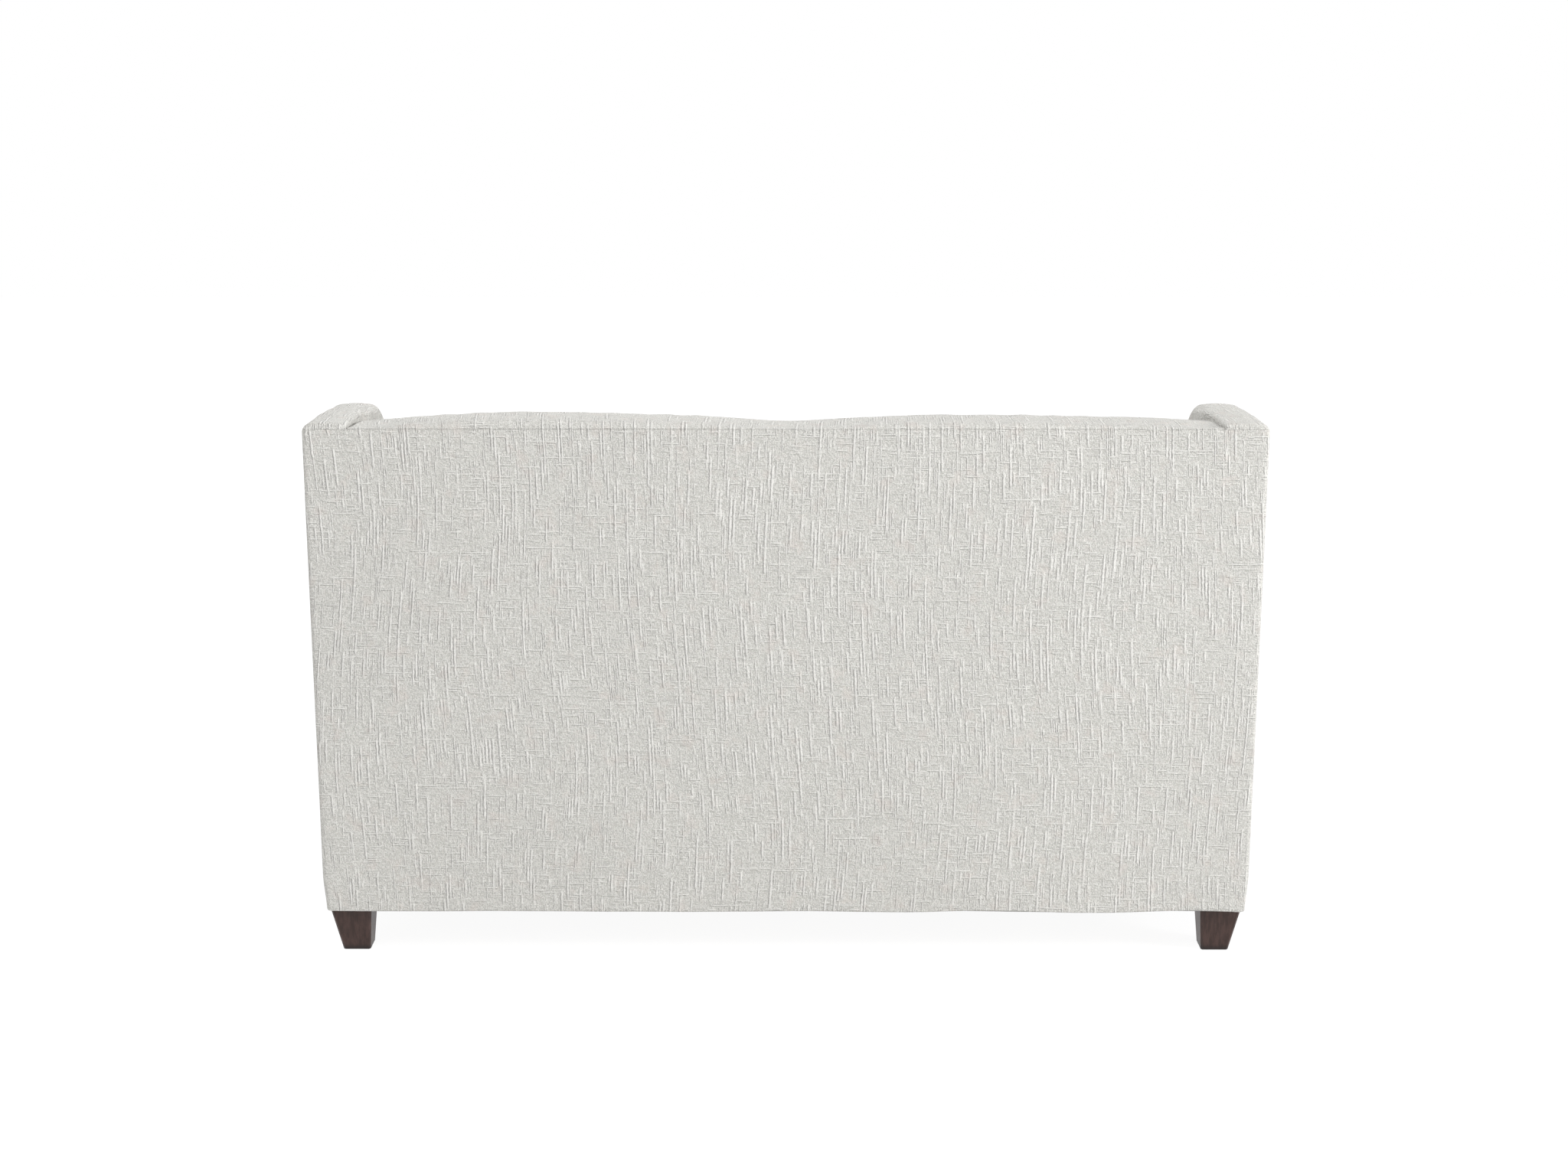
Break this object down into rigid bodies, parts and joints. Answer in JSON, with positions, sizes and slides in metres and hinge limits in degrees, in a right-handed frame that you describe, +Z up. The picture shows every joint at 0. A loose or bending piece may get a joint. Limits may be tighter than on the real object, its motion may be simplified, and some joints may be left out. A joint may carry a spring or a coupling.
{
  "type": "reclining loveseat",
  "caption": "Two-seat upholstered loveseat on tapered wooden feet, with winged arms, a fixed padded back and seats that recline with fold-out leg rests.",
  "frame": {"origin": "on the floor, under the middle of the loveseat's bounding box", "axes": "+Z up, the front of the seats faces -Y, +X to the right of someone facing the front"},
  "size_m": [1.63, 0.97, 0.9573],
  "materials": {
    "fabric": "matte woven",
    "plywood": "unfinished",
    "steel": "satin black",
    "espresso_wood": "satin lacquer"
  },
  "bodies": {
    "shell": {"left_arm_cover": "fabric", "left_arm_frame": "plywood", "right_arm_cover": "fabric", "right_arm_frame": "plywood", "front_rail": "plywood", "rear_rail": "plywood", "centre_rail": "plywood", "shell_back_frame": "plywood", "outside_back": "fabric", "crown_pad": "fabric", "left_front_leg": "espresso_wood", "left_rear_leg": "espresso_wood", "right_front_leg": "espresso_wood", "right_rear_leg": "espresso_wood", "left_fixed_plate_outer": "steel", "left_fixed_plate_inner": "steel", "right_fixed_plate_outer": "steel", "right_fixed_plate_inner": "steel"},
    "left_front_swing": {"left_swing_front": "steel"},
    "left_rear_swing": {"left_swing_rear": "steel"},
    "left_back_drive": {"left_back_drive_link": "steel"},
    "left_carriage": {"left_seat_frame": "steel", "left_seat_cushion": "fabric"},
    "left_back": {"left_back_bracket_outer": "steel", "left_back_bracket_inner": "steel", "left_back_panel": "plywood", "left_back_cushion": "fabric"},
    "left_leg_rest": {"left_rest_frame": "steel", "left_rest_board": "plywood", "left_rest_pad": "fabric"},
    "left_lever": {"left_release_lever": "steel"},
    "left_rest_front": {"left_rest_front_link_outer": "steel", "left_rest_front_link_inner": "steel"},
    "left_rest_rear": {"left_rest_rear_link_outer": "steel", "left_rest_rear_link_inner": "steel"},
    "left_rest_upper": {"left_rest_upper_link_outer": "steel", "left_rest_upper_link_inner": "steel"},
    "left_rest_lower": {"left_rest_lower_link_outer": "steel", "left_rest_lower_link_inner": "steel"},
    "right_front_swing": {"right_swing_front": "steel"},
    "right_rear_swing": {"right_swing_rear": "steel"},
    "right_back_drive": {"right_back_drive_link": "steel"},
    "right_carriage": {"right_seat_frame": "steel", "right_seat_cushion": "fabric"},
    "right_back": {"right_back_bracket_outer": "steel", "right_back_bracket_inner": "steel", "right_back_panel": "plywood", "right_back_cushion": "fabric"},
    "right_leg_rest": {"right_rest_frame": "steel", "right_rest_board": "plywood", "right_rest_pad": "fabric"},
    "right_lever": {"right_release_lever": "steel"},
    "right_rest_front": {"right_rest_front_link_outer": "steel", "right_rest_front_link_inner": "steel"},
    "right_rest_rear": {"right_rest_rear_link_outer": "steel", "right_rest_rear_link_inner": "steel"},
    "right_rest_upper": {"right_rest_upper_link_outer": "steel", "right_rest_upper_link_inner": "steel"},
    "right_rest_lower": {"right_rest_lower_link_outer": "steel", "right_rest_lower_link_inner": "steel"}
  },
  "joints": [
    {"name": "left_recline", "type": "hinge", "parent": "shell", "child": "left_front_swing", "pos_m": [-0.3565, -0.22, 0.165], "axis": [1, 0, 0], "range_deg": [0, 76]},
    {"name": "left_rear_swing_turn", "type": "hinge", "parent": "shell", "child": "left_rear_swing", "pos_m": [-0.3565, 0.13, 0.165], "axis": [1, 0, 0], "range_deg": [-0.5, 76.5]},
    {"name": "left_carriage_turn", "type": "hinge", "parent": "left_front_swing", "child": "left_carriage", "pos_m": [-0.3565, -0.10302, 0.31472], "axis": [1, 0, 0], "range_deg": [-76.5, 0.5]},
    {"name": "left_back_tilt", "type": "hinge", "parent": "left_carriage", "child": "left_back", "pos_m": [-0.3565, 0.3, 0.38502], "axis": [-1, 0, 0], "range_deg": [-0.2, 18.2]},
    {"name": "left_back_drive_turn", "type": "hinge", "parent": "shell", "child": "left_back_drive", "pos_m": [-0.3565, 0.1791, 0.165], "axis": [1, 0, 0], "range_deg": [-0.5, 71.5]},
    {"name": "left_leg_rest", "type": "hinge", "parent": "left_carriage", "child": "left_rest_front", "pos_m": [-0.3565, -0.3864, 0.31212], "axis": [-1, 0, 0], "range_deg": [0, 94.28]},
    {"name": "left_rest_rear_turn", "type": "hinge", "parent": "left_carriage", "child": "left_rest_rear", "pos_m": [-0.3565, -0.3404, 0.29622], "axis": [-1, 0, 0], "range_deg": [-0.5, 94.6]},
    {"name": "left_rest_upper_turn", "type": "hinge", "parent": "left_rest_front", "child": "left_rest_upper", "pos_m": [-0.3565, -0.2396, 0.17782], "axis": [-1, 0, 0], "range_deg": [-92.5, 0.5]},
    {"name": "left_rest_lower_turn", "type": "hinge", "parent": "left_rest_front", "child": "left_rest_lower", "pos_m": [-0.3565, -0.23, 0.13492], "axis": [-1, 0, 0], "range_deg": [-92.8, 0.5]},
    {"name": "left_rest_board_turn", "type": "hinge", "parent": "left_rest_upper", "child": "left_leg_rest", "pos_m": [-0.3565, -0.4081, 0.30512], "axis": [-1, 0, 0], "range_deg": [-0.5, 82.2]},
    {"name": "left_release_pull", "type": "hinge", "parent": "shell", "child": "left_lever", "pos_m": [-0.715, -0.12, 0.584], "axis": [-1, 0, 0], "range_deg": [0, 25], "stiffness_Nm_per_rad": 0.4},
    {"name": "right_recline", "type": "hinge", "parent": "shell", "child": "right_front_swing", "pos_m": [0.3565, -0.22, 0.165], "axis": [1, 0, 0], "range_deg": [0, 76]},
    {"name": "right_rear_swing_turn", "type": "hinge", "parent": "shell", "child": "right_rear_swing", "pos_m": [0.3565, 0.13, 0.165], "axis": [1, 0, 0], "range_deg": [-0.5, 76.5]},
    {"name": "right_carriage_turn", "type": "hinge", "parent": "right_front_swing", "child": "right_carriage", "pos_m": [0.3565, -0.10302, 0.31472], "axis": [1, 0, 0], "range_deg": [-76.5, 0.5]},
    {"name": "right_back_tilt", "type": "hinge", "parent": "right_carriage", "child": "right_back", "pos_m": [0.3565, 0.3, 0.38502], "axis": [-1, 0, 0], "range_deg": [-0.2, 18.2]},
    {"name": "right_back_drive_turn", "type": "hinge", "parent": "shell", "child": "right_back_drive", "pos_m": [0.3565, 0.1791, 0.165], "axis": [1, 0, 0], "range_deg": [-0.5, 71.5]},
    {"name": "right_leg_rest", "type": "hinge", "parent": "right_carriage", "child": "right_rest_front", "pos_m": [0.3565, -0.3864, 0.31212], "axis": [-1, 0, 0], "range_deg": [0, 94.28]},
    {"name": "right_rest_rear_turn", "type": "hinge", "parent": "right_carriage", "child": "right_rest_rear", "pos_m": [0.3565, -0.3404, 0.29622], "axis": [-1, 0, 0], "range_deg": [-0.5, 94.6]},
    {"name": "right_rest_upper_turn", "type": "hinge", "parent": "right_rest_front", "child": "right_rest_upper", "pos_m": [0.3565, -0.2396, 0.17782], "axis": [-1, 0, 0], "range_deg": [-92.5, 0.5]},
    {"name": "right_rest_lower_turn", "type": "hinge", "parent": "right_rest_front", "child": "right_rest_lower", "pos_m": [0.3565, -0.23, 0.13492], "axis": [-1, 0, 0], "range_deg": [-92.8, 0.5]},
    {"name": "right_rest_board_turn", "type": "hinge", "parent": "right_rest_upper", "child": "right_leg_rest", "pos_m": [0.3565, -0.4081, 0.30512], "axis": [-1, 0, 0], "range_deg": [-0.5, 82.2]},
    {"name": "right_release_pull", "type": "hinge", "parent": "shell", "child": "right_lever", "pos_m": [0.715, -0.12, 0.584], "axis": [-1, 0, 0], "range_deg": [0, 25], "stiffness_Nm_per_rad": 0.4}
  ],
  "couplings": [
    {"joint": "left_rear_swing_turn", "follows": "left_recline", "ratio": 1},
    {"joint": "left_carriage_turn", "follows": "left_recline", "ratio": -1},
    {"joint": "left_back_tilt", "follows": "left_recline", "ratio": 0.23684},
    {"joint": "left_back_drive_turn", "follows": "left_recline", "ratio": 0.93342},
    {"joint": "left_rest_rear_turn", "follows": "left_leg_rest", "ratio": 0.99777},
    {"joint": "left_rest_upper_turn", "follows": "left_leg_rest", "ratio": -0.97582},
    {"joint": "left_rest_lower_turn", "follows": "left_leg_rest", "ratio": -0.97879},
    {"joint": "left_rest_board_turn", "follows": "left_leg_rest", "ratio": 0.86678},
    {"joint": "right_rear_swing_turn", "follows": "right_recline", "ratio": 1},
    {"joint": "right_carriage_turn", "follows": "right_recline", "ratio": -1},
    {"joint": "right_back_tilt", "follows": "right_recline", "ratio": 0.23684},
    {"joint": "right_back_drive_turn", "follows": "right_recline", "ratio": 0.93342},
    {"joint": "right_rest_rear_turn", "follows": "right_leg_rest", "ratio": 0.99777},
    {"joint": "right_rest_upper_turn", "follows": "right_leg_rest", "ratio": -0.97582},
    {"joint": "right_rest_lower_turn", "follows": "right_leg_rest", "ratio": -0.97879},
    {"joint": "right_rest_board_turn", "follows": "right_leg_rest", "ratio": 0.86678}
  ]
}
